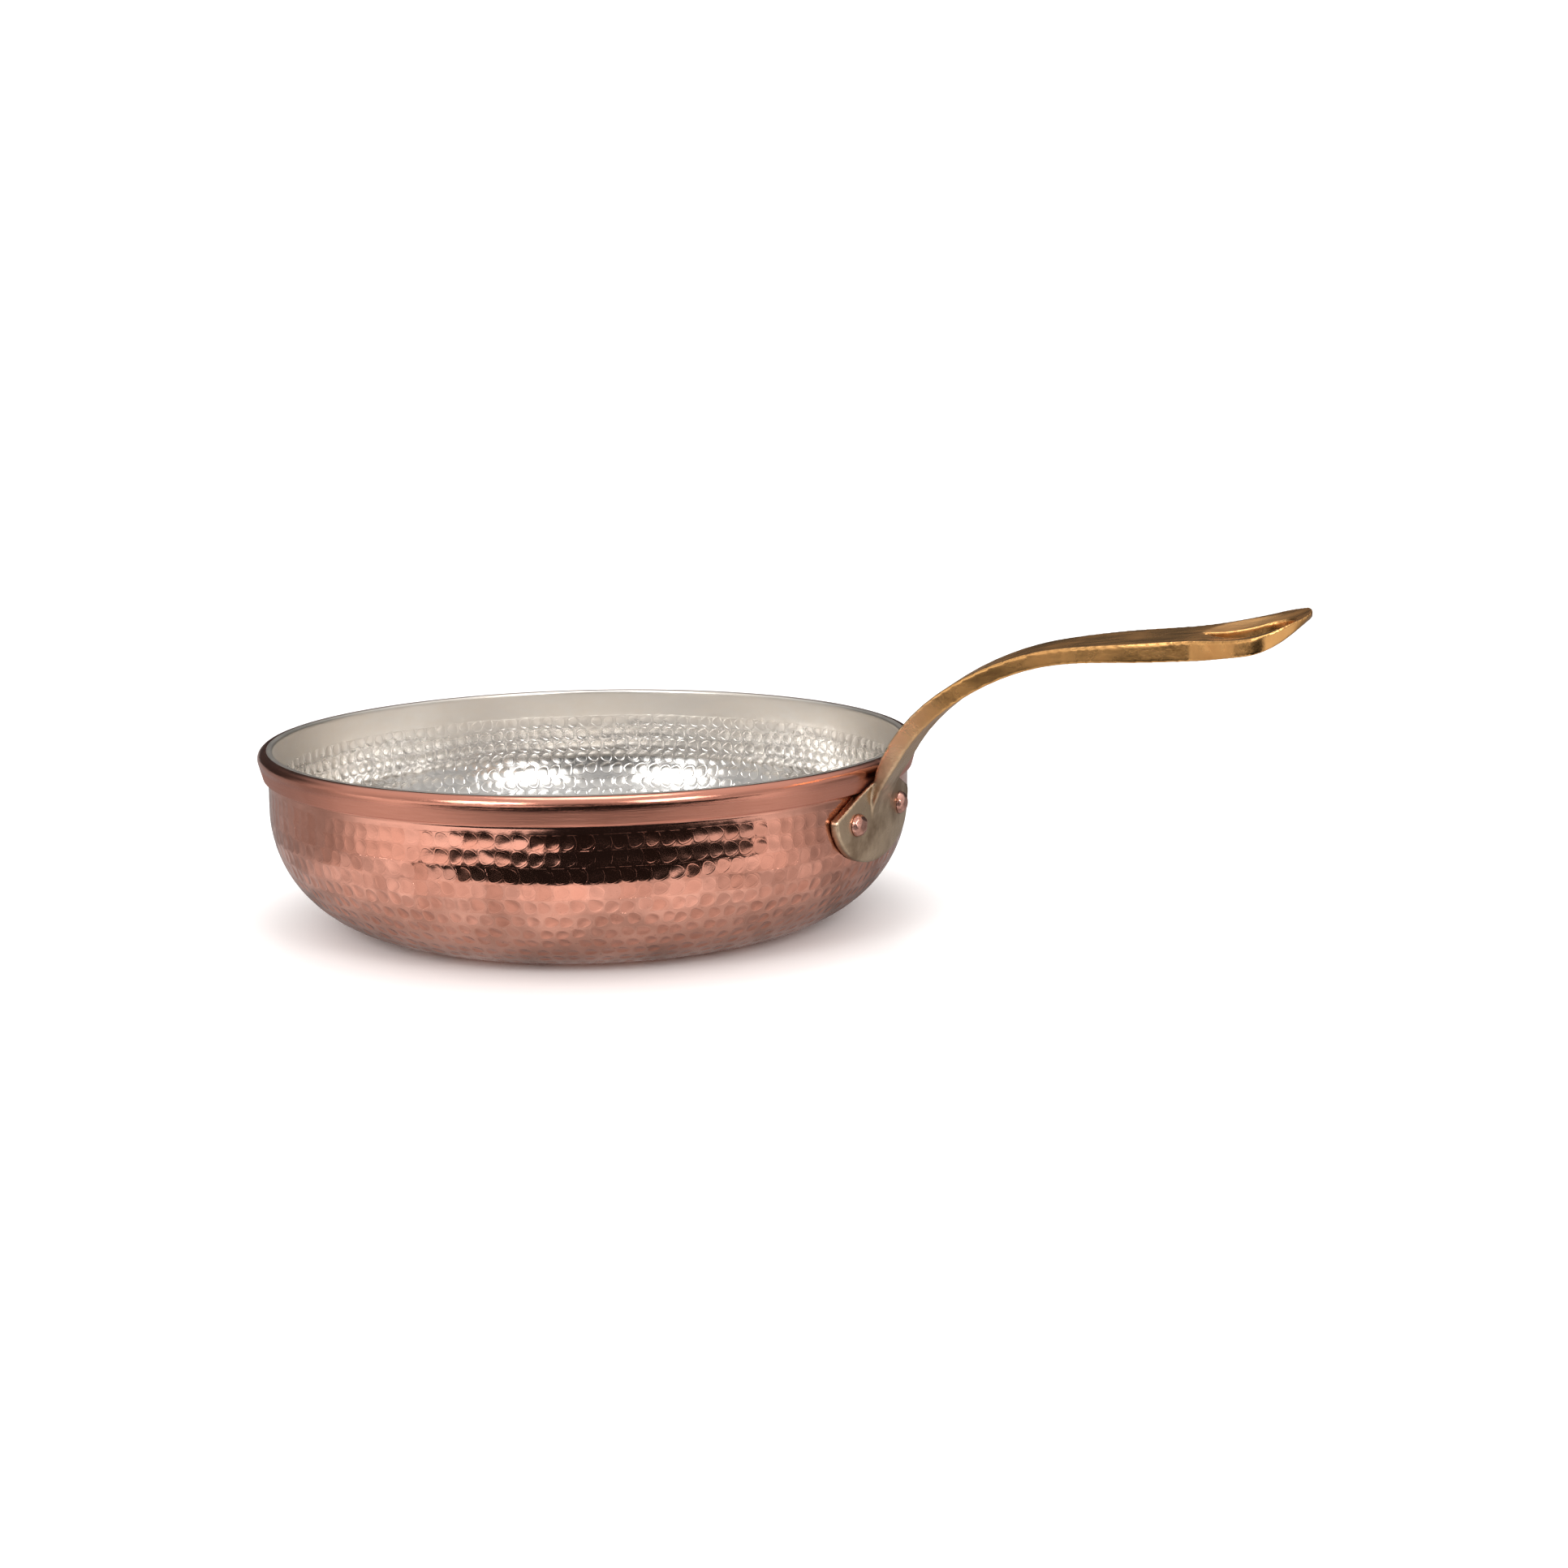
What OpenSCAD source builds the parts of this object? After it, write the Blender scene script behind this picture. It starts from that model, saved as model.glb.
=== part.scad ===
// Hammered copper pan, tinned inside, with a cast brass long handle on two
// copper rivets. Millimetres, +Z up. The origin is the centre of the flat
// base's underside and +X runs along the handle.

/* [Pan] */
// Outside diameter of the upright wall, under the rim band
wall_d = 257.6; // [180:0.2:340]
// Height of the rim above the table
pan_h = 72.5; // [50:0.5:120]
// Outside radius of the curve that turns the wall into the base
corner_r = 48; // [20:1:56]
// Thickness of the copper sheet
sheet = 2; // [1:0.1:4]
// Thickness of the tin coat
tin = 0.3; // [0.1:0.05:0.8]

/* [Rim band] */
// Height of the smooth band round the rim
band_h = 10.7; // [6:0.1:20]
// How far the band stands out from the wall
band_out = 3.8; // [1.5:0.1:6]
// Rounding over the top of the band
band_round = 3.2; // [0.5:0.1:4]
// How far the band's side leans in toward its lower edge, in degrees
band_lean = 15; // [0:0.5:20]

/* [Rivets] */
// Diameter of the rivet shank
shank_d = 6; // [4:0.1:8]
// Diameter of the flattened outer head
head_d = 8.6; // [7:0.1:12]
// Height of the outer head over the flange
head_h = 3; // [1.5:0.1:5]
// Diameter of the low inner head
inner_head_d = 11; // [8:0.1:16]
// Height of the inner head over the tin
inner_head_h = 1.7; // [0.8:0.1:3]
// Distance between the two rivets
rivet_gap = 36; // [24:0.5:44]
// How far the rivets lie under the rim
rivet_drop = 21; // [16:0.1:30]

/* [Flange] */
// Width of the flange over its two upper corners
flange_w = 61; // [48:1:84]
// How far the upper corners lie under the rim
flange_drop = 18; // [14:0.1:24]
// Height of the rounded part under the corners
flange_h = 21; // [16:0.5:30]
// Thickness of the flange plate
flange_t = 3.4; // [2:0.1:6]
// How far the flange's peak lies under the rim
peak_drop = 6.5; // [4:0.1:10]
// How far the neck stands off the wall at the peak
peak_out = 8.4; // [6:0.1:12]
// Lean of the flange and of the line through the rivets, in degrees
flange_lean = 4; // [0:0.5:10]

/* [Handle] */
// Reach of the handle from the wall to its tip
reach = 172.2; // [130:0.2:220]
// Height of the tip above the rim
tip_rise = 67; // [40:0.5:90]
// Height of the shoulder above the rim
shoulder_rise = 48.9; // [25:0.5:70]
// Distance of the shoulder from the wall
shoulder_out = 73; // [60:0.5:95]
// Length of the wide end, from its start to the tip
leaf_len = 42; // [34:0.5:60]
// Width of the wide end
leaf_w = 40; // [30:0.5:56]
// Width of the neck over the flange
neck_w = 15.8; // [12:0.2:26]
// Width at the shoulder
shoulder_w = 17.1; // [12:0.2:26]
// Width of the grip
grip_w = 22.6; // [16:0.2:32]
// Thickness of the neck
neck_t = 7; // [5:0.1:10]
// Thickness of the grip's edge at the shoulder
grip_t = 5.9; // [4:0.1:9]
// Thickness where the grip meets the wide end
heel_t = 7.3; // [5:0.1:10]
// Thickness of the wide end
leaf_t = 6.1; // [5:0.1:9]
// Thickness at the tip
tip_t = 1.3; // [0.8:0.1:4]
// Depth of the spoon-like hollow in the wide end
leaf_dish = 2; // [0.5:0.1:4.5]
// Lean of the whole handle about its length, in degrees
lean = 8; // [0:0.5:12]

/* [Hanging hole] */
// Length of the drop-shaped hole
hole_len = 33; // [24:0.5:38]
// Width of the hole's round end
hole_w = 17.6; // [8:0.2:22]
// Metal left between the hole and the tip
hole_rim = 5.7; // [4:0.1:12]

/* [Fits] */
// Gap between the flange and the pan, and between rivets and metal
seat = 0.05; // [0.02:0.01:0.3]
// Depth of the flat spot under each outer rivet head
spot_depth = 0.2; // [0.12:0.01:0.5]
// Gap round a rivet head in its flat spot
spot_gap = 0.15; // [0.05:0.05:0.5]
// Gap between the neck and the rim band
band_gap = 0.4; // [0.2:0.05:1.5]

/* [Hidden] */
$fn = 96;
big = 400;
wall_r = wall_d / 2;
band_r = wall_r + band_out;
in_r = wall_r - sheet - tin;
rivet_z = pan_h - rivet_drop;
head_seat = wall_r + flange_t - spot_depth;
rivet_turn = asin(rivet_gap / 2 / (wall_r + flange_t));
rivet_lift = rivet_gap / 2 * sin(flange_lean);
corner_z = pan_h - flange_drop;
peak_z = pan_h - peak_drop;
tip_x = wall_r + reach;
tip_z = pan_h + tip_rise;
leaf_x = tip_x - leaf_len;
leaf_z = tip_z - leaf_len * 0.243;
widest_x = tip_x - leaf_len * 0.36;
shoulder_x = wall_r + shoulder_out;
shoulder_z = pan_h + shoulder_rise;
root_x = wall_r + flange_t - 1.5;
root_z = pan_h - 24;
hole_x = tip_x - hole_rim - hole_w / 2;
hole_tip_x = tip_x - hole_rim - hole_len;
dish_r = (pow(0.39 * leaf_w, 2) + leaf_dish * leaf_dish) / (2 * leaf_dish);

// ---- plain curves ----
function dir(a) = [cos(a), sin(a)];
function bez(p, t) = pow(1 - t, 3) * p[0] + 3 * pow(1 - t, 2) * t * p[1]
  + 3 * (1 - t) * t * t * p[2] + pow(t, 3) * p[3];
function ease(a, b, x) = let (t = max(0, min(1, (x - a) / (b - a)))) t * t * (3 - 2 * t);
function mix(a, b, t) = a + (b - a) * t;
function inside_r(z) = z > corner_r ? in_r
  : wall_r - corner_r + sqrt(pow(corner_r - sheet - tin, 2) - pow(corner_r - z, 2));

// The line along the top of the strap, from the root to the tip.
root = [root_x, root_z];
shoulder = [shoulder_x, shoulder_z];
leaf = [leaf_x - 3, leaf_z - 0.3];
tip = [tip_x, tip_z];
rise = norm(shoulder - root) / 101.8;
run_grip = (leaf[0] - shoulder[0]) / 54.2;
run_leaf = (tip[0] - leaf[0]) / 45;
seg_neck = [root, root + 42.7 * rise * dir(92.4), shoulder - 27 * rise * dir(13.8), shoulder];
seg_grip = [shoulder, shoulder + 16 * run_grip * dir(13.8), leaf - 16 * run_grip * dir(7), leaf];
seg_leaf = [leaf, leaf + 14 * run_leaf * dir(7), tip - 13 * run_leaf * dir(31), tip];
function top_line(s) = s < 1 ? bez(seg_neck, s) : s < 2 ? bez(seg_grip, s - 1)
  : bez(seg_leaf, s - 2);
function along(s) = let (e = 0.002, a = top_line(max(0, s - e)), b = top_line(min(3, s + e)))
  (b - a) / norm(b - a);

// Half the strap's width at a distance x, and its thickness at a point.
function half_w(x) = x < shoulder_x ? mix(neck_w, shoulder_w, ease(root_x, shoulder_x - 8, x)) / 2
  : x < leaf_x ? mix(shoulder_w, grip_w, ease(shoulder_x, leaf_x - 20, x)) / 2
  : x < widest_x ? mix(grip_w, leaf_w, ease(leaf_x - 4, widest_x + 4, x)) / 2
  : let (u = (x - widest_x) / (tip_x - widest_x),
      w = mix(grip_w, leaf_w, ease(leaf_x - 4, widest_x + 4, widest_x)) / 2)
    w * pow(max(0, 1 - pow(u, 2.1)), 0.62);
function edge_h(p) = p[1] < pan_h + 8 ? mix(0.8, neck_t, ease(root_z, pan_h + 8, p[1]))
  : p[0] < shoulder_x ? mix(neck_t, grip_t, ease(shoulder_x - 60, shoulder_x, p[0]))
  : p[0] < leaf_x ? mix(grip_t, heel_t, ease(shoulder_x + 10, leaf_x, p[0]))
  : let (u = (p[0] - leaf_x) / leaf_len)
    mix(heel_t, leaf_t, ease(0, 0.5, u)) - (leaf_t - tip_t) * pow(u, 6);

// ---- pan ----
// A slice of the pan's outside, grown by a distance g.
module body_slice(g) {
  intersection() {
    translate([0, -g]) square([big, pan_h + g]);
    union() {
      translate([0, -g]) square([wall_r - corner_r, corner_r + g]);
      translate([0, corner_r]) square([wall_r + g, pan_h]);
      translate([wall_r - corner_r, corner_r]) circle(corner_r + g);
    }
  }
}

// A slice of the rim band, grown by a distance g: a leaning side that runs
// smoothly into the rounding at the top.
module band_slice(g) {
  low = pan_h - band_h;
  cx = band_r - band_round;
  cz = pan_h - band_round;
  r = band_round + g;
  side_x = cx + r * cos(band_lean);
  side_z = cz - r * sin(band_lean);
  foot_x = side_x - (side_z - low + g) * tan(band_lean);
  polygon([
    [wall_r - 1, low - g],
    [foot_x, low - g],
    [side_x, side_z],
    [cx, cz],
    [cx, pan_h + g],
    [wall_r - 1, pan_h + g]
  ]);
  translate([cx, cz]) circle(r);
}

module outer_slice() {
  body_slice(0);
  band_slice(0);
}

module rivet_axis(side, x0) {
  rotate([0, 0, side * rivet_turn])
    translate([x0, 0, rivet_z + side * rivet_lift])
      rotate([0, 90, 0]) children();
}

module rivet_bores() {
  for (side = [-1, 1]) {
    rivet_axis(side, wall_r - 20) cylinder(h = 40, r = shank_d / 2 + seat);
  }
}

module copper_shell() {
  color("#c8785a")
    difference() {
      rotate_extrude()
        difference() {
          outer_slice();
          body_slice(-sheet);
          translate([0, pan_h - tin]) square([wall_r + 0.2, 1]);
        }
      rivet_bores();
    }
}

module tin_lining() {
  color("#cfc8c0")
    difference() {
      rotate_extrude()
        union() {
          difference() {
            body_slice(-sheet);
            body_slice(-sheet - tin);
          }
          translate([in_r, pan_h - tin]) square([wall_r + 0.2 - in_r, tin]);
        }
      rivet_bores();
    }
}

// ---- handle ----
module leaned(a = lean) {
  translate([0, 0, rivet_z]) rotate([a, 0, 0]) translate([0, 0, -rivet_z]) children();
}

// The flange's outline, seen along the handle: a half oval under two
// corners, with straight edges that climb to the neck.
module flange_outline() {
  steps = 40;
  polygon(concat(
    [for (i = [0:steps]) let (a = 180 + 180 * i / steps)
      [flange_w / 2 * cos(a), corner_z + flange_h * sin(a)]],
    [[flange_w / 2 - 0.6, corner_z + 1.2], [neck_w / 2, peak_z], [-neck_w / 2, peak_z],
      [-flange_w / 2 + 0.6, corner_z + 1.2]]
  ));
}

// A slice of the ring that the flange is cut from. It lies on the wall and
// swells outward to the neck.
module flange_slice() {
  low = peak_z - 8.5;
  swell = peak_out - flange_t;
  steps = 10;
  body_slice(flange_t);
  polygon(concat(
    [[wall_r - 1, low]],
    [for (i = [0:steps]) let (a = 90 * i / steps)
      [wall_r + flange_t + swell * (1 - cos(a)), low + (peak_z + 1 - low) * sin(a)]],
    [[wall_r - 1, peak_z + 1]]
  ));
}

module flange() {
  intersection() {
    leaned(flange_lean)
      translate([wall_r - 24, 0, 0])
        rotate([90, 0, 90])
          linear_extrude(50) flange_outline();
    rotate_extrude() flange_slice();
  }
}

// The strap's outline from the side: its top line, then its underside.
module strap_side() {
  n = 16;
  s = [for (i = [0:3 * n]) i / n];
  polygon(concat(
    [for (u = s) top_line(u)],
    [for (i = [0:3 * n]) let (u = s[3 * n - i], p = top_line(u), t = along(u))
      [p[0] + t[1] * edge_h(p), p[1] - t[0] * edge_h(p)]]
  ));
}

// The strap's outline from above.
module strap_plan() {
  x0 = root_x - 4;
  n = 26;
  m = 18;
  xs = concat(
    [for (i = [0:n]) x0 + (widest_x - x0) * i / n],
    [for (i = [1:m]) widest_x + (tip_x - widest_x) * sin(90 * i / m)]
  );
  polygon(concat(
    [for (x = xs) [x, -max(0.4, half_w(x))]],
    [for (i = [0:n + m]) let (x = xs[n + m - i]) [x, max(0.4, half_w(x))]]
  ));
}

module strap() {
  at = top_line(2.52);
  slope = along(2.52);
  difference() {
    intersection() {
      rotate([90, 0, 0]) translate([0, 0, -big / 4]) linear_extrude(big / 2) strap_side();
      translate([0, 0, root_z - 20]) linear_extrude(big) strap_plan();
    }
    translate([at[0], 0, at[1]])
      rotate([0, -atan2(slope[1], slope[0]), 0])
        translate([0, 0, dish_r - leaf_dish]) sphere(dish_r);
  }
}

module hole_cut() {
  r = hole_w / 2;
  span = hole_x - hole_tip_x;
  a = acos(r / span);
  translate([0, 0, tip_z - 40])
    linear_extrude(60) {
      translate([hole_x, 0]) circle(r);
      polygon([
        [hole_tip_x, 0],
        [hole_x - r * cos(a), -r * sin(a)],
        [hole_x, 0],
        [hole_x - r * cos(a), r * sin(a)]
      ]);
    }
}

module handle() {
  color("#b5894f")
    union() {
      difference() {
        flange();
        rotate_extrude() body_slice(seat);
        rotate_extrude() band_slice(band_gap);
        rivet_bores();
        for (side = [-1, 1]) {
          rivet_axis(side, head_seat) cylinder(h = 12, r = head_d / 2 + spot_gap);
        }
      }
      difference() {
        leaned() difference() {
          strap();
          hole_cut();
        }
        rotate_extrude() body_slice(seat);
        rotate_extrude() band_slice(band_gap);
      }
    }
}

// ---- rivets ----
module rivet(side) {
  low_z = rivet_z + side * rivet_lift - inner_head_d / 2;
  reach_in = min(sqrt(in_r * in_r - inner_head_d * inner_head_d / 4), inside_r(low_z)) - seat;
  reach_out = head_seat + seat;
  dome_r = (inner_head_d * inner_head_d / 4 + inner_head_h * inner_head_h) / (2 * inner_head_h);
  color("#d08a72")
    rivet_axis(side, 0) {
      translate([0, 0, reach_in - 0.5])
        cylinder(h = reach_out - reach_in + 1, r = shank_d / 2);
      translate([0, 0, reach_out])
        rotate_extrude() {
          square([head_d / 2, head_h - 0.8]);
          square([head_d / 2 - 0.8, head_h]);
          translate([head_d / 2 - 0.8, head_h - 0.8]) circle(0.8);
        }
      intersection() {
        translate([0, 0, reach_in + dome_r - inner_head_h]) sphere(dome_r);
        translate([0, 0, reach_in - inner_head_h]) cylinder(h = inner_head_h, r = inner_head_d / 2);
      }
    }
}

module rivet_left() {
  rivet(-1);
}

module rivet_right() {
  rivet(1);
}

copper_shell();
tin_lining();
handle();
rivet_left();
rivet_right();
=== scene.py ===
import math

import bmesh
import bpy
import numpy as np
from mathutils import Matrix, Vector


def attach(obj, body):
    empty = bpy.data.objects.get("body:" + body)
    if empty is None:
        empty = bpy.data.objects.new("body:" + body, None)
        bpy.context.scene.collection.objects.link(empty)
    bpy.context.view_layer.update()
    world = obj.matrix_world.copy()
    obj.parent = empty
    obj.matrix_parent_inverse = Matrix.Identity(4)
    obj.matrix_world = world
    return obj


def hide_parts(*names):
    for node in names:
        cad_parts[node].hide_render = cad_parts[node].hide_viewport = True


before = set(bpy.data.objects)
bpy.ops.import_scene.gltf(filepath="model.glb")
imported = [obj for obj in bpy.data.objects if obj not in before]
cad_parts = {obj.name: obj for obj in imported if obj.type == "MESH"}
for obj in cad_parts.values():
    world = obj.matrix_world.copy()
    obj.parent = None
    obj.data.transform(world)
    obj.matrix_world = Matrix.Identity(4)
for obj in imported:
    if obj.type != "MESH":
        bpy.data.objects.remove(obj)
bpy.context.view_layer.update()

# Sizes in millimetres, as the part's source has them. Meshes are made in metres.
MM = 0.001
WALL_R = 128.8
PAN_H = 72.5
CORNER_R = 48.0
SHEET = 2.0
TIN = 0.3
IN_R = WALL_R - SHEET - TIN
BASE_R = WALL_R - CORNER_R
BAND_H = 10.7
BAND_R = 132.58
BAND_ROUND = 3.2
BAND_LEAN = math.radians(15)
BAND_FOOT = PAN_H - BAND_H
FLANGE_T = 3.4
SPOT_DEPTH = 0.2
SEAT = 0.05
RIVET_Z = PAN_H - 21.0
RIVET_GAP = 36.0
FLANGE_LEAN = math.radians(4)
SHANK_R = 3.0
HEAD_R = 4.3
HEAD_H = 3.0
INNER_HEAD_R = 5.5
INNER_HEAD_H = 1.7

# Small edges that only the look has, in millimetres.
BAND_EDGE = 0.25
LIP_DROP = 0.06
LIP_ROUND = 0.9
HEAD_SKIRT = 0.5
HANDLE_SKIN = 0.43

# Points round the copper and round the tin, halved again and again as rings shrink.
COPPER_POINTS = 760
TIN_POINTS = 720

# How far a ring lies down the hammered sheet is its run. Smooth rings, which lie above
# the first mark or on the hidden face, carry one of these instead.
HIDDEN, LIP, BAND_TOP, BAND_SIDE, BAND_UNDER = -50.0, -18.0, -16.0, -12.0, -8.0

# Colours of the clean and the worn metal, and of painted highlight and painted shade, as
# linear red, green and blue.
COPPER_LIGHT = (0.91, 0.425, 0.315)
COPPER_DEEP = (0.84, 0.36, 0.255)
COPPER_WORN = (0.62, 0.225, 0.15)
COPPER_DULL = (0.46, 0.235, 0.18)
# A painted highlight for the rims of the hammer marks.
COPPER_RIM_HIGHLIGHT = (0.95, 0.52, 0.40)
COPPER_SOIL = (0.20, 0.09, 0.065)
TIN_CLEAN = (0.83, 0.82, 0.80)
TIN_YELLOW = (0.83, 0.74, 0.64)
TIN_SHADE = (0.50, 0.49, 0.48)
BRASS_CLEAN = (0.94, 0.50, 0.18)
BRASS_DARK = (0.62, 0.29, 0.095)
BRASS_TAN = (0.78, 0.58, 0.40)
BRASS_GREY = (0.38, 0.26, 0.17)
# Painted shade and grime for the brass's corners and hollows.
BRASS_SHADE_GRIME = (0.09, 0.055, 0.03)
RIVET_BRIGHT = (0.88, 0.47, 0.38)
RIVET_STAIN = (0.52, 0.24, 0.18)
PALE = (0.93, 0.93, 0.93)

# The studio and the camera are laid out across and away from the pan, turned by this.
VIEW_TURN = math.radians(28.5)
CAMERA_PLACE = (0.0786443, -1.0, 0.23882)
CAMERA_PITCH = 0.1849
CAMERA_ROLL = 0.0118
CAMERA_LENS = 57.277
BOX_AIM = (0.03, 0, 0.05)


# ---------------------------------------------------------------- node helpers
class Field:
    """A number in a node tree that plain arithmetic can be done on."""

    def __init__(self, tree, socket):
        self.tree, self.socket = tree, socket

    def feed(self, node, values):
        """Links or sets the node's inputs in turn, and gives its first output."""
        for slot, value in enumerate(values):
            if isinstance(value, Field):
                self.tree.links.new(value.socket, node.inputs[slot])
            else:
                node.inputs[slot].default_value = value
        return Field(self.tree, node.outputs[0])

    def do(self, operation, *others):
        node = self.tree.nodes.new("ShaderNodeMath")
        node.operation = operation
        return self.feed(node, (self, *others))

    def __add__(self, other):
        return self.do("ADD", other)

    def __sub__(self, other):
        return self.do("SUBTRACT", other)

    def __mul__(self, other):
        return self.do("MULTIPLY", other)

    def __truediv__(self, other):
        return self.do("DIVIDE", other)

    __radd__ = __add__
    __rmul__ = __mul__

    def __rsub__(self, other):
        return self * -1.0 + other

    def between(self, low, high):
        return self.do("MAXIMUM", low).do("MINIMUM", high)

    def step_up(self, low, high, start=0.0, end=1.0):
        """From start to end, smoothly, as this goes from low to high."""
        node = self.tree.nodes.new("ShaderNodeMapRange")
        node.interpolation_type = "SMOOTHSTEP"
        return self.feed(node, (self, low, high, start, end))


def make_node(tree, kind, links=(), **settings):
    """A new node with its settings, and its inputs linked or set by name."""
    node = tree.nodes.new(kind)
    for name, value in settings.items():
        setattr(node, name, value)
    for name, value in dict(links).items():
        if isinstance(value, Field):
            tree.links.new(value.socket, node.inputs[name])
        elif isinstance(value, bpy.types.NodeSocket):
            tree.links.new(value, node.inputs[name])
        else:
            node.inputs[name].default_value = value
    return node


# ---------------------------------------------------------------- mesh helpers
def faces_between(a, na, b, nb):
    """Faces from a ring of na points, numbered from a on, to the next, nb from b on."""
    faces = []
    if na == 1 or nb == 1:
        n, hub, rim = (nb, a, b) if na == 1 else (na, b, a)
        for i in range(n):
            p, q = rim + i, rim + (i + 1) % n
            faces.append((hub, q, p) if na == 1 else (hub, p, q))
    elif na == nb:
        for i in range(na):
            j = (i + 1) % na
            faces.append((a + i, b + i, b + j, a + j))
    elif na == 2 * nb:
        for i in range(nb):
            j = (i + 1) % nb
            p, q, r = a + 2 * i, a + 2 * i + 1, a + (2 * i + 2) % na
            faces += [(p, b + i, q), (q, b + i, b + j), (q, b + j, r)]
    else:
        for i in range(na):
            j = (i + 1) % na
            p, q, r = b + 2 * i, b + 2 * i + 1, b + (2 * i + 2) % nb
            faces += [(p, q, a + i), (q, a + j, a + i), (q, r, a + j)]
    return faces


def ring_mesh(name, rings, place=None):
    """A closed turned shape. rings are (radius, height, count, values), from one end
    of the profile to the other; a radius of 0 is a pole. Neighbouring rings have equal
    counts, or one has twice the other's. values is a dict that becomes attributes.
    place, if given, moves all the points at once."""
    points, faces, attributes, last = [], [], {}, None
    for radius, height, count, values in rings:
        start, n = len(points), count if radius > 0 else 1
        for i in range(n):
            a = 2 * math.pi * i / n
            points.append((radius * math.cos(a), radius * math.sin(a), height))
            for key, value in {**values, "turn": i / n}.items():
                attributes.setdefault(key, []).append(value)
        if last:
            faces += faces_between(*last, start, n)
        last = start, n
    points = np.array(points)
    if place is not None:
        points = place(points)
    mesh = bpy.data.meshes.new(name)
    mesh.from_pydata((points * MM).tolist(), [], faces)
    for key, column in attributes.items():
        mesh.attributes.new(key, "FLOAT", "POINT").data.foreach_set("value", column)
    face_outwards(mesh)
    return mesh


def face_outwards(mesh):
    bm = bmesh.new()
    bm.from_mesh(mesh)
    bmesh.ops.recalc_face_normals(bm, faces=bm.faces)
    if bm.calc_volume(signed=True) < 0:
        bmesh.ops.reverse_faces(bm, faces=bm.faces)
    bm.to_mesh(mesh)
    bm.free()


def smooth_with_creases(mesh, degrees):
    mesh.shade_smooth()
    mesh.set_sharp_from_angle(angle=math.radians(degrees))


def add_object(name, data):
    obj = bpy.data.objects.new(name, data)
    bpy.context.scene.collection.objects.link(obj)
    return obj


def made_plain(obj, name):
    """The object's mesh with its modifiers worked in, on a new plain object."""
    graph = bpy.context.evaluated_depsgraph_get()
    mesh = bpy.data.meshes.new_from_object(obj.evaluated_get(graph))
    bpy.data.objects.remove(obj)
    mesh.name = name
    return add_object(name, mesh)


# ---------------------------------------------------------------- hammer marks
# Lengths are in millimetres. Top and Low are the tall rows under the rim and the round
# marks on the base, and Change Over is the run where one gives way to the other.
MARKS = {
    "Wall Length": 13.8, "Curve Radius": CORNER_R, "Base Radius": BASE_R,
    "First Row": 3.0, "Mark Width": 6.0, "Row Height": 6.3,
    "Top Depth": 0.12, "Low Depth": 0.15, "Top Cup": 66.0, "Low Cup": 15.0,
    "Change Over": 45.0, "Bow": 0.2, "Unevenness": 1.0, "Seed": 0.0,
}


def outer_marks():
    """The marks on the copper, under the band and over the base."""
    return {**MARKS, "Wall Length": BAND_FOOT - CORNER_R, "First Row": 3.2, "Seed": 4.0}


def inner_marks():
    """The marks that show through the tin, below its smooth collar."""
    return {**MARKS, "Wall Length": PAN_H - CORNER_R, "Curve Radius": IN_R - BASE_R,
            "First Row": 11.0, "Mark Width": 5.6, "Row Height": 5.6, "Low Depth": 0.11,
            "Top Cup": 44.0, "Low Cup": 38.0, "Change Over": 50.0, "Seed": 9.0}


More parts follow.
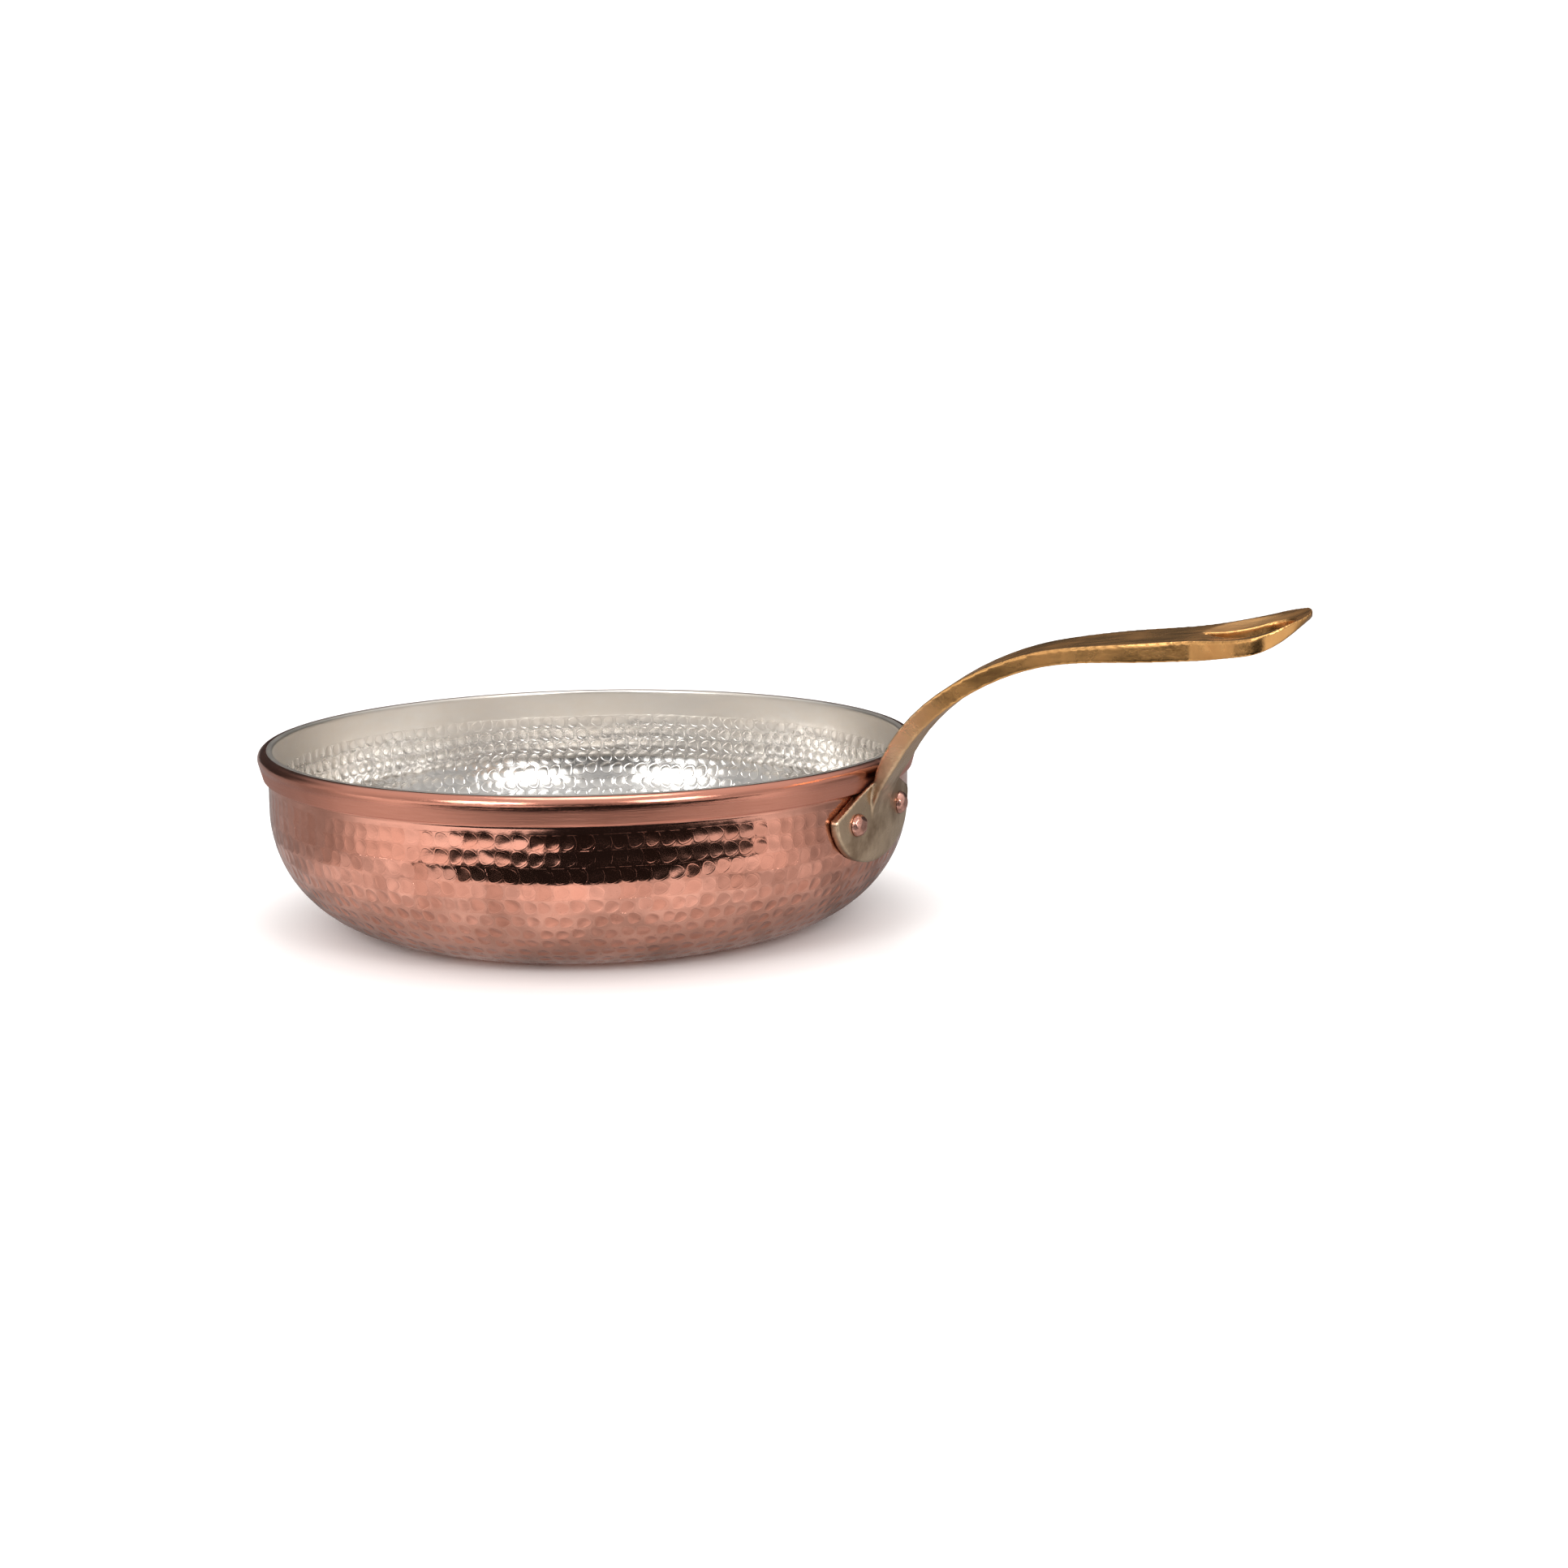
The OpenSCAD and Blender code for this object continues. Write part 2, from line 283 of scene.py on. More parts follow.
def mark_fields(tree, run, turn, where, size):
    """Rows of hammer marks over a turned sheet, worked out at one point of it. Each mark
    is a shallow cup in its own cell, and the cells follow the sheet in rings. run is how
    far the point lies down the sheet in millimetres, turn how far round it from 0 to 1,
    and where its place. Returns the depth pressed in, in millimetres, and three numbers
    from 0 to 1: each mark's own tone, how near its edge the point is, and how far the
    marks have changed from the tall rows at the top to the round ones on the base."""

    def wander(scale, offset):
        """Slow random drift over the sheet, about -0.5 to 0.5."""
        noise = make_node(tree, "ShaderNodeTexNoise",
                          {"Vector": where, "W": size["Seed"] * 3.1 + offset,
                           "Scale": scale, "Detail": 1.0}, noise_dimensions="4D")
        return Field(tree, noise.outputs[0]) - 0.5

    def chance(a, b, salt):
        """A random number from 0 to 1 for each pair of whole numbers."""
        pair = make_node(tree, "ShaderNodeCombineXYZ",
                         {"X": a * 0.37, "Y": b * 0.73, "Z": size["Seed"] + salt})
        node = make_node(tree, "ShaderNodeTexWhiteNoise", {"Vector": pair.outputs[0]},
                         noise_dimensions="3D")
        return Field(tree, node.outputs["Value"])

    # The row that the point is in, and the radius of the sheet at that row's middle.
    uneven = size["Unevenness"]
    height = size["Row Height"]
    down = run - size["First Row"] + wander(28.0, 0.0) * uneven * 2.2
    row = (down / height).do("FLOOR")
    middle = (row + 0.5) * height + size["First Row"]
    quarter = size["Curve Radius"] * (math.pi / 2)
    bend = (middle - size["Wall Length"]).between(0.0, quarter)
    flat = (middle - size["Wall Length"] - quarter).do("MAXIMUM", 0.0)
    ring_radius = (size["Base Radius"]
                   + size["Curve Radius"] * (bend / size["Curve Radius"]).do("COSINE")
                   - flat).do("MAXIMUM", 3.0)
    # A whole number of marks goes round each row, and each row starts at its own place.
    girth = ring_radius * (2 * math.pi)
    count = (girth / size["Mark Width"]).do("ROUND").do("MAXIMUM", 1.0)
    width = girth / count
    v = ((down / height).do("FRACT") - 0.5) * 2.0
    column = (turn * count + chance(row, row, 11.0) * 9.0
              + wander(60.0, 5.0) * uneven * 0.5 + size["Bow"] * v * v)
    cell = column.do("FLOOR").do("FLOORED_MODULO", count)
    # Each blow lands a little off its cell's middle, with its own depth and tilt.
    change = (middle / size["Change Over"]).step_up(0.42, 0.92)
    loose = uneven * (change * 1.2 + 0.5)
    u_mm = (column.do("FRACT") - 0.5) * width - (chance(row, cell, 1.0) - 0.5) * loose
    v_mm = v * height * 0.5 - (chance(row, cell, 2.0) - 0.5) * loose
    blow = chance(row, cell, 3.0)
    depth = ((size["Top Depth"] * (1.0 - change) + size["Low Depth"] * change)
             * (blow * 0.6 + 0.7))
    cup = size["Top Cup"] * (1.0 - change) + size["Low Cup"] * change
    away = u_mm * u_mm + v_mm * v_mm
    cut = (away / (cup * 2.0) - depth).do("MINIMUM", 0.0)
    tilt = (u_mm * (chance(row, cell, 4.0) - 0.5)
            + v_mm * (chance(row, cell, 5.0) - 0.5)) * 0.05 * uneven
    # Above the first row all four fade to nothing.
    inside = down.step_up(0.0, 0.6)
    pressed = (cut + tilt * (cut / depth * -1.0)).do("MINIMUM", 0.0) * inside
    rim = (away / (height * height * 0.25)).between(0.0, 1.0)
    return pressed, blow * inside, rim * inside, change * inside


def hammer_tree():
    """Works the marks into a sheet that carries run and turn on its points."""
    tree = bpy.data.node_groups.new("hammer_marks", "GeometryNodeTree")
    face = tree.interface
    face.new_socket("Sheet", in_out="INPUT", socket_type="NodeSocketGeometry")
    for name, value in MARKS.items():
        socket = face.new_socket(name, in_out="INPUT", socket_type="NodeSocketFloat")
        socket.default_value = value
    face.new_socket("Metal", in_out="INPUT", socket_type="NodeSocketMaterial")
    face.new_socket("Sheet", in_out="OUTPUT", socket_type="NodeSocketGeometry")
    start = tree.nodes.new("NodeGroupInput")
    size = {name: Field(tree, start.outputs[name]) for name in MARKS}

    def carried(name):
        node = make_node(tree, "GeometryNodeInputNamedAttribute", {"Name": name})
        return Field(tree, node.outputs["Attribute"])

    where = tree.nodes.new("GeometryNodeInputPosition").outputs[0]
    pressed = mark_fields(tree, carried("run"), carried("turn"), where, size)[0]
    normal = tree.nodes.new("GeometryNodeInputNormal").outputs[0]
    push = make_node(tree, "ShaderNodeVectorMath",
                     {0: normal, "Scale": pressed * MM}, operation="SCALE")
    move = make_node(tree, "GeometryNodeSetPosition",
                     {"Geometry": start.outputs["Sheet"], "Offset": push.outputs["Vector"]})
    real = make_node(tree, "GeometryNodeRealizeInstances", {0: move.outputs[0]})
    paint = make_node(tree, "GeometryNodeSetMaterial",
                      {"Geometry": real.outputs[0], "Material": start.outputs["Metal"]})
    make_node(tree, "NodeGroupOutput", {0: paint.outputs[0]})
    return tree


def hammered(name, rings, tree, metal, sizes):
    """A sheet made of rings, with hammer marks worked in by the tree."""
    blank = name + "_blank"
    obj = add_object(blank, ring_mesh(blank, rings))
    work = obj.modifiers.new("hammer marks", "NODES")
    work.node_group = tree
    sockets = {s.name: s.identifier for s in tree.interface.items_tree
               if s.in_out == "INPUT"}
    for key, value in sizes.items():
        work[sockets[key]] = value
    work[sockets["Metal"]] = metal
    obj = made_plain(obj, name)
    smooth_with_creases(obj.data, 48)
    return obj


# ---------------------------------------------------------------- the pan
def arc(cx, cz, radius, first, last, steps):
    """Points on an arc, angles in degrees up from level."""
    out = []
    for i in range(steps + 1):
        a = math.radians(first + (last - first) * i / steps)
        out.append((cx + radius * math.cos(a), cz + radius * math.sin(a)))
    return out


def ring(radius, height, count, run, zone=0.0):
    """One ring of a sheet. zone is 1 where the marks are and 0 where it is smooth."""
    return radius, height, count, {"run": run, "zone": zone}


def joint_rings(fine, radii):
    """The hidden face where sheet and tin meet, from its middle to the curve's top."""
    rings = [ring(0.0, SHEET, 1, HIDDEN)]
    for radius, count in zip(radii, (fine // 8, fine // 4)):
        rings.append(ring(radius, SHEET, count, HIDDEN))
    for x, z in arc(BASE_R, CORNER_R, CORNER_R - SHEET, -90, 0, 24):
        rings.append(ring(x, z, fine // 2, HIDDEN))
    return rings


def band_rings(fine):
    """The smooth band: over the lip, round its shoulder and in to the wall at its foot."""
    rings = [ring(WALL_R - SHEET, PAN_H - TIN, fine, LIP),
             ring(WALL_R + 0.18, PAN_H - TIN, fine, LIP),
             ring(WALL_R + 0.2, PAN_H - LIP_DROP, fine, LIP),
             ring(WALL_R + 0.26, PAN_H, fine, LIP)]
    for x, z in arc(BAND_R - BAND_ROUND, PAN_H - BAND_ROUND, BAND_ROUND,
                    90, -math.degrees(BAND_LEAN), 8):
        rings.append(ring(x, z, fine, BAND_TOP))
    side_x, side_z = rings[-1][:2]
    for share in (0.33, 0.66, 0.95, 1.0):
        drop = (side_z - BAND_FOOT - BAND_EDGE) * share
        rings.append(ring(side_x - drop * math.tan(BAND_LEAN), side_z - drop, fine,
                          BAND_SIDE))
    foot_x = side_x - (side_z - BAND_FOOT) * math.tan(BAND_LEAN)
    rings.append(ring(foot_x - BAND_EDGE, BAND_FOOT, fine, BAND_UNDER))
    rings.append(ring(WALL_R + BAND_EDGE, BAND_FOOT, fine, BAND_UNDER))
    rings.append(ring(WALL_R, BAND_FOOT - BAND_EDGE, fine, BAND_EDGE, 0.2))
    return rings


def lip_rings(fine):
    """The tin over the lip, from the copper band to the inside of the wall."""
    rings = [ring(WALL_R - SHEET, PAN_H - TIN, fine, LIP),
             ring(WALL_R + 0.2, PAN_H - TIN, fine, LIP),
             ring(WALL_R + 0.2, PAN_H - LIP_DROP, fine, LIP),
             ring(WALL_R + 0.12, PAN_H, fine, LIP),
             ring(IN_R + LIP_ROUND, PAN_H, fine, LIP)]
    for x, z in arc(IN_R + LIP_ROUND, PAN_H - LIP_ROUND, LIP_ROUND, 120, 180, 3):
        rings.append(ring(x, z, fine, LIP))
    return rings


def wall_rings(radius, top, start, fine, straight, curved):
    """The hammered wall, from start under top, and the curve below it."""
    rings, wall, bow = [], top - CORNER_R, radius - BASE_R
    for i in range(1, straight + 1):
        drop = start + (wall - start) * i / straight
        rings.append(ring(radius, top - drop, fine, drop, 1.0))
    for i in range(1, curved + 1):
        a = math.pi / 2 * i / curved
        rings.append(ring(BASE_R + bow * math.cos(a), CORNER_R - bow * math.sin(a), fine,
                          wall + bow * a, 1.0))
    return rings


def base_rings(height, run, count, stride, least, crowd, fewest, growth=1.0):
    """The flat base, from its edge to its middle. run is where the base begins. A ring
    has half the points of the last where they crowd, and the stride then grows."""
    rings, radius = [], BASE_R - stride
    while radius > least:
        rings.append(ring(radius, height, count, run + BASE_R - radius, 1.0))
        if radius < count * crowd and count > fewest:
            count //= 2
            stride *= growth
        radius -= stride
    return rings + [ring(0.0, height, 1, run + BASE_R, 1.0)]


def copper_shell(tree, metal):
    """The copper sheet with its smooth rim band, hammered under the band."""
    fine = COPPER_POINTS
    rings = joint_rings(fine, (20.0, 60.0)) + band_rings(fine)
    rings += wall_rings(WALL_R, BAND_FOOT, BAND_EDGE, fine, 11, 64)
    rings += base_rings(0.0, BAND_FOOT - CORNER_R + CORNER_R * math.pi / 2, fine // 2,
                        stride=1.8, least=4.0, crowd=0.11, fewest=95, growth=1.25)
    return hammered("copper_shell_visual", rings, tree, metal, outer_marks())


def tin_lining(tree, metal):
    """The tin coat: a smooth collar at the top, hammer marks below and on the floor."""
    fine = TIN_POINTS
    rings = joint_rings(fine, (24.0, 70.0)) + lip_rings(fine)
    rings += wall_rings(IN_R, PAN_H, LIP_ROUND, fine, 22, 66)
    rings += base_rings(SHEET + TIN, PAN_H - CORNER_R + (IN_R - BASE_R) * math.pi / 2,
                        fine // 2, stride=1.2, least=3.0, crowd=0.115, fewest=45)
    return hammered("tin_lining_visual", rings, tree, metal, inner_marks())


# ---------------------------------------------------------------- the handle
def cast_handle():
    """The cast handle: the frame's solid with its edges and inner corners softened, as
    a sand casting's are after filing."""
    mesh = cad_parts["handle"].data.copy()
    bm = bmesh.new()
    bm.from_mesh(mesh)
    bmesh.ops.remove_doubles(bm, verts=bm.verts, dist=1e-6)
    bm.to_mesh(mesh)
    bm.free()
    obj = add_object("handle_blank", mesh)
    skin = obj.modifiers.new("even skin", "REMESH")
    skin.mode = "VOXEL"
    skin.voxel_size = HANDLE_SKIN * MM
    soften = obj.modifiers.new("soft edges", "SMOOTH")
    soften.factor = 0.5
    soften.iterations = 9
    obj = made_plain(obj, "handle_visual")
    obj.data.shade_smooth()
    return obj


# ---------------------------------------------------------------- rivets
def rivet_profile(reach_in, reach_out):
    """A rivet's outline, (radius, distance from the pan's axis), from the middle of the
    low inner head, along the shank, to the middle of the outer head."""
    dome_r = (INNER_HEAD_R ** 2 + INNER_HEAD_H ** 2) / (2 * INNER_HEAD_H)
    edge = math.asin(INNER_HEAD_R / dome_r)
    profile = [(0.0, reach_in - INNER_HEAD_H)]
    for i in range(1, 9):
        a = edge * i / 8
        profile.append((dome_r * math.sin(a),
                        reach_in + dome_r - INNER_HEAD_H - dome_r * math.cos(a)))
    profile += [(SHANK_R, reach_in), (SHANK_R, reach_out)]
    profile += [(HEAD_R - 0.15, reach_out), (HEAD_R, reach_out + 0.2)]
    for i in range(1, 12):
        a = math.pi / 2 * i / 12
        profile.append((HEAD_R * math.cos(a) ** 0.8,
                        reach_out + HEAD_SKIRT + (HEAD_H - HEAD_SKIRT) * math.sin(a)))
    profile.append((0.0, reach_out + HEAD_SKIRT + (HEAD_H - HEAD_SKIRT)))
    return profile


def flatten_head(points, reach_out, seed):
    """Beats the outer head into flats: one on top, then two rings of them."""
    p = points.copy()
    chance = np.random.default_rng(seed)
    centre = np.array([0.0, 0.0, reach_out + 0.4])
    for blows, tilt in ((1, 0.0), (5, 38.0), (8, 66.0)):
        for i in range(blows):
            around = 2 * math.pi * (i + chance.uniform(-0.2, 0.2)) / blows
            lean = math.radians(tilt + chance.uniform(-7, 7))
            n = np.array([math.sin(lean) * math.cos(around),
                          math.sin(lean) * math.sin(around), math.cos(lean)])
            far = ((p - centre) @ n)[p[:, 2] > reach_out + 0.3].max()
            limit = far - chance.uniform(0.18, 0.34)
            over = np.clip((p - centre) @ n - limit, 0, None)
            over[p[:, 2] < reach_out + 0.1] = 0
            p -= over[:, None] * n * 0.92
    return p


def rivet(side, name, seed):
    """A copper rivet with a hammered outer head and a low inner head."""
    flange_r = WALL_R + FLANGE_T
    turn = side * math.asin(RIVET_GAP / 2 / flange_r)
    height = RIVET_Z + side * RIVET_GAP / 2 * math.sin(FLANGE_LEAN)
    reach_in = math.sqrt(IN_R ** 2 - INNER_HEAD_R ** 2) - SEAT
    reach_out = flange_r - SPOT_DEPTH + SEAT

    def place(points):
        """Lays the rivet level, lifts it and turns it round the pan."""
        p = flatten_head(points, reach_out, seed)
        level = np.stack([p[:, 2], p[:, 0], p[:, 1] + height], axis=1)
        c, s = math.cos(turn), math.sin(turn)
        return np.stack([level[:, 0] * c - level[:, 1] * s,
                         level[:, 0] * s + level[:, 1] * c, level[:, 2]], axis=1)

    rings = [(r, z, 48, {}) for r, z in rivet_profile(reach_in, reach_out)]
    mesh = ring_mesh(name, rings, place)
    smooth_with_creases(mesh, 38)
    return add_object(name, mesh)


# ---------------------------------------------------------------- finishes
def new_metal(name):
    material = bpy.data.materials.new(name)
    material.use_nodes = True
    tree = material.node_tree
    shader = tree.nodes["Principled BSDF"]
    shader.inputs["Metallic"].default_value = 1.0
    return material, tree, shader


def object_noise(tree, scale, detail=3.0, stretch=(1, 1, 1), offset=0.0):
    """Noise on the piece's own coordinates, from 0 to 1."""
    where = tree.nodes.new("ShaderNodeTexCoord")
    mapping = make_node(tree, "ShaderNodeMapping", {
        "Vector": where.outputs["Object"], "Scale": stretch,
        "Location": (offset, offset * 0.7, offset * 1.3)})
    noise = make_node(tree, "ShaderNodeTexNoise", {
        "Vector": mapping.outputs[0], "Scale": scale, "Detail": detail, "Roughness": 0.55})
    return Field(tree, noise.outputs[0])


def turned_noise(tree, around, down):
    """Noise that is stretched round the pan, as polishing streaks are."""
    angle = attribute_of(tree, "turn") * (2 * math.pi)
    where = tree.nodes.new("ShaderNodeTexCoord").outputs["Object"]
    parts = make_node(tree, "ShaderNodeSeparateXYZ", {0: where})
    vector = make_node(tree, "ShaderNodeCombineXYZ", {
        0: angle.do("COSINE") * around, 1: angle.do("SINE") * around,
        2: Field(tree, parts.outputs[2]) * down})
    noise = make_node(tree, "ShaderNodeTexNoise", {
        "Vector": vector.outputs[0], "Scale": 1.0, "Detail": 3.0, "Roughness": 0.6})
    return Field(tree, noise.outputs[0])


def blend_colour(tree, share, first, second):
    node = tree.nodes.new("ShaderNodeMix")
    node.data_type = "RGBA"
    tree.links.new(share.socket, node.inputs["Factor"])
    for slot, colour in ((6, first), (7, second)):
        if isinstance(colour, bpy.types.NodeSocket):
            tree.links.new(colour, node.inputs[slot])
        else:
            node.inputs[slot].default_value = (*colour, 1)
    return node.outputs[2]


def finish_metal(tree, shader, colour, rough, height, distance=1.0):
    """Links a metal's colour, roughness and bump. height times distance is in metres."""
    tree.links.new(colour, shader.inputs["Base Color"])
    tree.links.new(rough.socket, shader.inputs["Roughness"])
    bump = make_node(tree, "ShaderNodeBump",
                     {"Strength": 1.0, "Distance": distance, "Height": height})
    tree.links.new(bump.outputs[0], shader.inputs["Normal"])


def attribute_of(tree, name):
    node = make_node(tree, "ShaderNodeAttribute", attribute_name=name)
    return Field(tree, node.outputs["Fac"])


def turn_at(tree, where):
    """How far round the pan a place lies, from 0 to 1."""
    parts = make_node(tree, "ShaderNodeSeparateXYZ", {0: where})
    x, y = Field(tree, parts.outputs[0]), Field(tree, parts.outputs[1])
    return (y.do("ARCTAN2", x) / (2 * math.pi)).do("FLOORED_MODULO", 1.0)


def marks_at_surface(tree, size):
    """The hammer marks again, for a finish: crisp edges where the sheet bends them."""
    where = tree.nodes.new("ShaderNodeTexCoord").outputs["Object"]
    return mark_fields(tree, attribute_of(tree, "run"), turn_at(tree, where), where, size)


def raised_ring(rim, height):
    """The thin lip that a hammer's edge throws up round each mark, in metres."""
    return rim.step_up(0.52, 0.72) * (1.0 - rim.step_up(0.74, 0.98)) * height


def copper_metal():
    """Polished copper: bright in the marks, brushed on the band, scuffed on the base."""
    material, tree, shader = new_metal("hammered_copper")
    pressed, tone, rim, change = marks_at_surface(tree, outer_marks())
    marked = attribute_of(tree, "zone")
    run = attribute_of(tree, "run")
    cloud = object_noise(tree, 38.0, 4.0)
    patch = object_noise(tree, 120.0, offset=6.0)
    speck = object_noise(tree, 700.0, offset=3.0)
    grain = object_noise(tree, 1500.0, 2.0, offset=4.0)
    streak = turned_noise(tree, 9.0, 1900.0)
    low = run.step_up(22.0, 80.0)
    base = run.step_up(66.0, 96.0)
    # Each mark has its own tone; wear, scuffs, a painted highlight along the mark edges, the
    # band and soil lie over it.
    stain = ((cloud - 0.5) * 1.8 + low * 0.75 + (patch - 0.5) * 0.8).between(0.0, 1.0)
    fresh = blend_colour(tree, tone, COPPER_LIGHT, COPPER_DEEP)
    worn = blend_colour(tree, stain * 0.6, fresh, COPPER_WORN)
    grey = (patch.step_up(0.52, 0.72) * low * 0.35 + base * cloud.step_up(0.35, 0.65) * 0.3)
    dull = blend_colour(tree, grey, worn, COPPER_DULL)
    soiled = speck.step_up(0.62, 0.72) * (low * 0.55 + 0.1) * marked
    # A painted highlight: each mark's rim is made lighter in colour.
    rim_highlighted = blend_colour(tree, rim.step_up(0.35, 0.8) * change * 0.4, dull, COPPER_RIM_HIGHLIGHT)
    banded = blend_colour(tree, (1.0 - marked) * (0.35 + streak * 0.4), rim_highlighted, COPPER_WORN)
    colour = blend_colour(tree, soiled, banded, COPPER_SOIL)
    brushed = run.step_up(BAND_TOP - 0.5, BAND_SIDE + 0.5) * (1.0 - marked)
    rough = (marked * (low * 0.13 + base * 0.08 + 0.11 + (cloud - 0.5) * 0.08)
             + (1.0 - marked) * (0.17 + brushed * 0.2 + (streak - 0.5) * 0.16)
             + soiled * 0.25 + grey * 0.2)
    height = (pressed * (change * 0.0010 + 0.0004) * marked
              + raised_ring(rim, 0.000024) * (change * 0.5 + 0.5) * marked
              + (grain - 0.5) * (low * 0.00003 + 0.000008) * marked
              + (patch - 0.5) * (change * 0.00012 + 0.00002) * marked
              + (streak - 0.5) * (1.0 - marked) * 0.00006)
    finish_metal(tree, shader, colour, rough, height)
    return material


def tin_metal():
    """Wiped tin: soft wiping streaks, warm where it has yellowed."""
    material, tree, shader = new_metal("wiped_tin")
    pressed, tone, rim, _ = marks_at_surface(tree, inner_marks())
    cloud = object_noise(tree, 24.0, 4.0, offset=7.0)
    wipe = turned_noise(tree, 14.0, 260.0)
    collar = 1.0 - attribute_of(tree, "run").step_up(8.0, 26.0)
    warm = (cloud * 0.5 + wipe * 0.5 - 0.25 + collar * 0.35).between(0.0, 1.0)
    clean = blend_colour(tree, warm, TIN_CLEAN, TIN_YELLOW)
    shade = (tone * 0.25 + rim.step_up(0.5, 0.9) * 0.25) * (1.0 - collar)
    colour = blend_colour(tree, shade, clean, TIN_SHADE)
    rough = 0.18 + (wipe - 0.5) * 0.16 + (cloud - 0.5) * 0.08 + collar * 0.16
    height = pressed * 0.0007 + raised_ring(rim, 0.000045) + (wipe - 0.5) * 0.000006
    finish_metal(tree, shader, colour, rough, height)
    return material


def brass_metal():
    """Cast brass: filed and polished along the grip, greyer on the flange, and darkened in
    its corners and in the hanging hole by painted shade and old polish."""
    material, tree, shader = new_metal("cast_brass")
    where = tree.nodes.new("ShaderNodeTexCoord").outputs["Object"]
    along = Field(tree, make_node(tree, "ShaderNodeSeparateXYZ", {0: where}).outputs[0])
    grip = along.step_up(0.128, 0.172)
    cloud = object_noise(tree, 60.0, 5.0, offset=2.0)
    filed = object_noise(tree, 210.0, stretch=(0.22, 1.6, 0.6), offset=5.0)
    pits = object_noise(tree, 1400.0, 2.0, offset=9.0)
    mottled = cloud.step_up(0.40, 0.66) * (0.95 - grip * 0.55)
    tarnish = (mottled + (filed - 0.42) * 0.8).between(0.0, 1.0)
    gold = blend_colour(tree, tarnish, BRASS_CLEAN, BRASS_DARK)
    tan = blend_colour(tree, tarnish, BRASS_TAN, BRASS_GREY)
    polished = blend_colour(tree, grip, tan, gold)
    # Ambient occlusion darkens the corners, the hanging hole and the flange round the rivets:
    # painted shade, together with grime.
    occlusion = make_node(tree, "ShaderNodeAmbientOcclusion", {"Distance": 0.014}, samples=8)
    shade_and_grime = (1.0 - Field(tree, occlusion.outputs["AO"])).step_up(0.12, 0.62) * 0.9
    colour = blend_colour(tree, shade_and_grime, polished, BRASS_SHADE_GRIME)
    rough = 0.24 + tarnish * 0.16 + (filed - 0.5) * 0.14 + (1.0 - grip) * 0.04
    height = (filed - 0.5) * 0.00006 + (cloud - 0.5) * 0.0003 + (pits - 0.5) * 0.00002
    finish_metal(tree, shader, colour, rough, height)
    return material


def rivet_metal():
    """Bright copper, stained in patches."""
    material, tree, shader = new_metal("rivet_copper")
    cloud = object_noise(tree, 260.0, 4.0, offset=1.0)
    colour = blend_colour(tree, cloud.step_up(0.4, 0.75), RIVET_BRIGHT, RIVET_STAIN)
    finish_metal(tree, shader, colour, 0.16 + cloud * 0.2, cloud, distance=0.0001)
    return material


# ---------------------------------------------------------------- studio
def from_view(x, y, z):
    """A place given across, away from and above the pan, as the camera sees them."""
    c, s = math.cos(VIEW_TURN), math.sin(VIEW_TURN)
    return Vector((x * c - y * s, x * s + y * c, z))


def across_and_away(x, y):
    """The same two directions, as numbers in a tree."""
    c, s = math.cos(VIEW_TURN), math.sin(VIEW_TURN)
    return x * c + y * s, y * c - x * s


def pale_floor():
    """A plain matt floor, 24 metres wide, just under the pan."""
    mesh = bpy.data.meshes.new("floor")
    corners = [from_view(x, y, 0) for x, y in ((-12, -12), (12, -12), (12, 12), (-12, 12))]
    mesh.from_pydata(corners, [], [(0, 1, 2, 3)])
    material = bpy.data.materials.new("pale_floor")
    material.use_nodes = True
    shader = material.node_tree.nodes["Principled BSDF"]
    shader.inputs["Base Color"].default_value = (*PALE, 1)
    shader.inputs["Roughness"].default_value = 0.9
    shader.inputs["Specular IOR Level"].default_value = 0.0
    mesh.materials.append(material)
    floor = add_object("floor", mesh)
    floor.location.z = -0.0002
    return material.node_tree, shader


